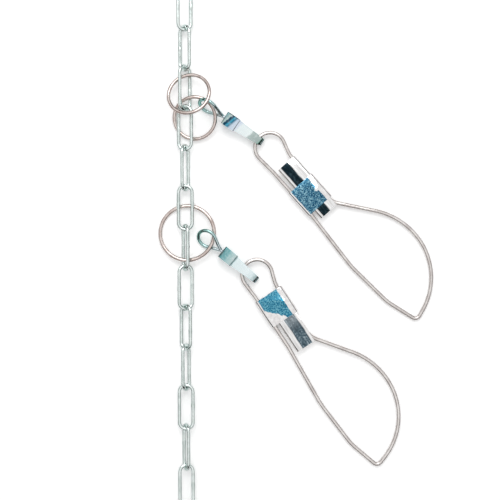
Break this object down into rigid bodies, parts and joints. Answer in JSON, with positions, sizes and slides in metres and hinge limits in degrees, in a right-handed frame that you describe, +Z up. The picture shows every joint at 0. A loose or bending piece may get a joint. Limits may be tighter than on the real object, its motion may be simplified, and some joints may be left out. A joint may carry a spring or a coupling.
{
  "type": "fish stringer",
  "caption": "Long-link chain lying straight, with two safety-pin style snaps hung on it by wire rings and swivels; one snap locked by its sliding sleeve, the other open.",
  "frame": {"origin": "on the surface that the stringer lies on, under the middle of its bounding box", "axes": "+Y runs along the chain towards its top link, +X points to the side where the snaps lie, +Z is up"},
  "size_m": [0.1514, 0.2888, 0.0142],
  "materials": {
    "zinc_chain": "bright zinc plate",
    "zinc_swivel": "bright zinc plate",
    "nickel_wire": "nickel-plated spring wire",
    "bright_sheet": "bright nickel-plated sheet"
  },
  "bodies": {
    "chain_link_01": {"chain_link_01": "zinc_chain"},
    "chain_link_02": {"chain_link_02": "zinc_chain"},
    "chain_link_03": {"chain_link_03": "zinc_chain"},
    "chain_link_04": {"chain_link_04": "zinc_chain"},
    "chain_link_05": {"chain_link_05": "zinc_chain"},
    "chain_link_06": {"chain_link_06": "zinc_chain"},
    "chain_link_07": {"chain_link_07": "zinc_chain"},
    "chain_link_08": {"chain_link_08": "zinc_chain"},
    "chain_link_09": {"chain_link_09": "zinc_chain"},
    "chain_link_10": {"chain_link_10": "zinc_chain"},
    "chain_link_11": {"chain_link_11": "zinc_chain"},
    "chain_link_12": {"chain_link_12": "zinc_chain"},
    "chain_link_13": {"chain_link_13": "zinc_chain"},
    "upper_leaning_ring": {"upper_leaning_ring": "nickel_wire"},
    "upper_carrier_ring": {"upper_carrier_ring": "nickel_wire"},
    "lower_carrier_ring": {"lower_carrier_ring": "nickel_wire"},
    "upper_swivel_eye": {"upper_swivel_eye": "zinc_swivel"},
    "lower_swivel_eye": {"lower_swivel_eye": "zinc_swivel"},
    "upper_swivel_strap": {"upper_swivel_strap": "zinc_swivel"},
    "lower_swivel_strap": {"lower_swivel_strap": "zinc_swivel"},
    "upper_snap": {"upper_snap_wire": "nickel_wire", "upper_clasp_plate": "bright_sheet"},
    "lower_snap": {"lower_snap_wire": "nickel_wire", "lower_clasp_plate": "bright_sheet"},
    "upper_lock_sleeve": {"upper_lock_sleeve": "bright_sheet"},
    "lower_lock_sleeve": {"lower_lock_sleeve": "bright_sheet"},
    "lower_snap_gate": {"lower_snap_gate": "nickel_wire"}
  },
  "joints": [
    {"name": "chain_hinge_05_06", "type": "hinge", "parent": "chain_link_06", "child": "chain_link_05", "pos_m": [-0.06065, 0.0339, 0.00448], "axis": [1, 0, 0], "range_deg": [-75, 75]},
    {"name": "chain_hinge_04_05", "type": "hinge", "parent": "chain_link_05", "child": "chain_link_04", "pos_m": [-0.06065, 0.0537, 0.00448], "axis": [-0.9511, 0, -0.309], "range_deg": [-75, 75]},
    {"name": "chain_hinge_03_04", "type": "hinge", "parent": "chain_link_04", "child": "chain_link_03", "pos_m": [-0.06065, 0.0777, 0.00448], "axis": [0.9511, 0, 0.309], "range_deg": [0, 35]},
    {"name": "chain_hinge_02_03", "type": "hinge", "parent": "chain_link_03", "child": "chain_link_02", "pos_m": [-0.06065, 0.0975, 0.00448], "axis": [0.7193, 0, 0.6947], "range_deg": [-75, 75]},
    {"name": "chain_hinge_01_02", "type": "hinge", "parent": "chain_link_02", "child": "chain_link_01", "pos_m": [-0.06065, 0.1194, 0.00448], "axis": [-0.9272, 0, 0.3746], "range_deg": [-75, 75]},
    {"name": "chain_hinge_06_07", "type": "hinge", "parent": "chain_link_06", "child": "chain_link_07", "pos_m": [-0.06065, 0.0099, 0.00448], "axis": [-1, 0, 0], "range_deg": [0, 60]},
    {"name": "chain_hinge_07_08", "type": "hinge", "parent": "chain_link_07", "child": "chain_link_08", "pos_m": [-0.06065, -0.0099, 0.00448], "axis": [-0.9272, 0, 0.3746], "range_deg": [-75, 75]},
    {"name": "chain_hinge_08_09", "type": "hinge", "parent": "chain_link_08", "child": "chain_link_09", "pos_m": [-0.06065, -0.0339, 0.00448], "axis": [0.9272, 0, -0.3746], "range_deg": [-75, 75]},
    {"name": "chain_hinge_09_10", "type": "hinge", "parent": "chain_link_09", "child": "chain_link_10", "pos_m": [-0.06065, -0.0558, 0.00448], "axis": [0.6947, 0, 0.7193], "range_deg": [-75, 75]},
    {"name": "chain_hinge_10_11", "type": "hinge", "parent": "chain_link_10", "child": "chain_link_11", "pos_m": [-0.06065, -0.0756, 0.00448], "axis": [1, 0, 0], "range_deg": [-75, 75]},
    {"name": "chain_hinge_11_12", "type": "hinge", "parent": "chain_link_11", "child": "chain_link_12", "pos_m": [-0.06065, -0.0996, 0.00448], "axis": [-1, 0, 0], "range_deg": [-75, 75]},
    {"name": "chain_hinge_12_13", "type": "hinge", "parent": "chain_link_12", "child": "chain_link_13", "pos_m": [-0.06065, -0.1194, 0.00448], "axis": [0.9511, 0, -0.309], "range_deg": [-75, 75]},
    {"name": "lower_carrier_ring_hinge", "type": "hinge", "parent": "chain_link_07", "child": "lower_carrier_ring", "pos_m": [-0.06065, -0.00697, 0.00359], "axis": [-0.9948, 0.0511, -0.0886], "range_deg": [0, 100]},
    {"name": "upper_carrier_ring_hinge", "type": "hinge", "parent": "chain_link_03", "child": "upper_carrier_ring", "pos_m": [-0.06065, 0.08137, 0.00379], "axis": [0.872, 0.4492, 0.1946], "range_deg": [0, 100]},
    {"name": "upper_leaning_ring_hinge", "type": "hinge", "parent": "chain_link_03", "child": "upper_leaning_ring", "pos_m": [-0.06065, 0.0942, 0.00444], "axis": [0.9586, 0.2645, 0.1052], "range_deg": [-100, 0]},
    {"name": "upper_eye_on_ring", "type": "hinge", "parent": "upper_carrier_ring", "child": "upper_swivel_eye", "pos_m": [-0.04473, 0.07518, 0.00546], "axis": [0, 0, 1], "range_deg": [0, 70]},
    {"name": "upper_swivel_turn", "type": "hinge", "parent": "upper_swivel_eye", "child": "upper_swivel_strap", "pos_m": [-0.03891, 0.07133, 0.00492], "axis": [0.8314, -0.5503, -0.0768], "continuous": true},
    {"name": "upper_head_loop_hinge", "type": "hinge", "parent": "upper_swivel_strap", "child": "upper_snap", "pos_m": [-0.02079, 0.05933, 0.0032], "axis": [0.5678, 0.8231, 0], "range_deg": [-60, 60]},
    {"name": "upper_sleeve_slide", "type": "slide", "parent": "upper_snap", "child": "upper_lock_sleeve", "axis": [0.6638, -0.7477, -0.0158], "range_m": [-0.0133, 0]},
    {"name": "lower_eye_on_ring", "type": "hinge", "parent": "lower_carrier_ring", "child": "lower_swivel_eye", "pos_m": [-0.04601, 0.00238, 0.00422], "axis": [-0.3759, -0.9262, 0.0298], "range_deg": [-35, 35]},
    {"name": "lower_swivel_turn", "type": "hinge", "parent": "lower_swivel_eye", "child": "lower_swivel_strap", "pos_m": [-0.04051, -0.00225, 0.00385], "axis": [0.764, -0.6433, -0.0503], "continuous": true},
    {"name": "lower_head_loop_hinge", "type": "hinge", "parent": "lower_swivel_strap", "child": "lower_snap", "pos_m": [-0.02905, -0.0119, 0.00295], "axis": [0.3891, 0.9212, 0], "range_deg": [-60, 60]},
    {"name": "lower_sleeve_slide", "type": "slide", "parent": "lower_snap", "child": "lower_lock_sleeve", "axis": [0.549, -0.8357, -0.014], "range_m": [0, 0.0133]},
    {"name": "lower_gate_opening", "type": "hinge", "parent": "lower_snap", "child": "lower_snap_gate", "pos_m": [0.04667, -0.1185, 0.00111], "axis": [0.0077, -0.0117, 0.9999], "range_deg": [-14, 0]}
  ]
}
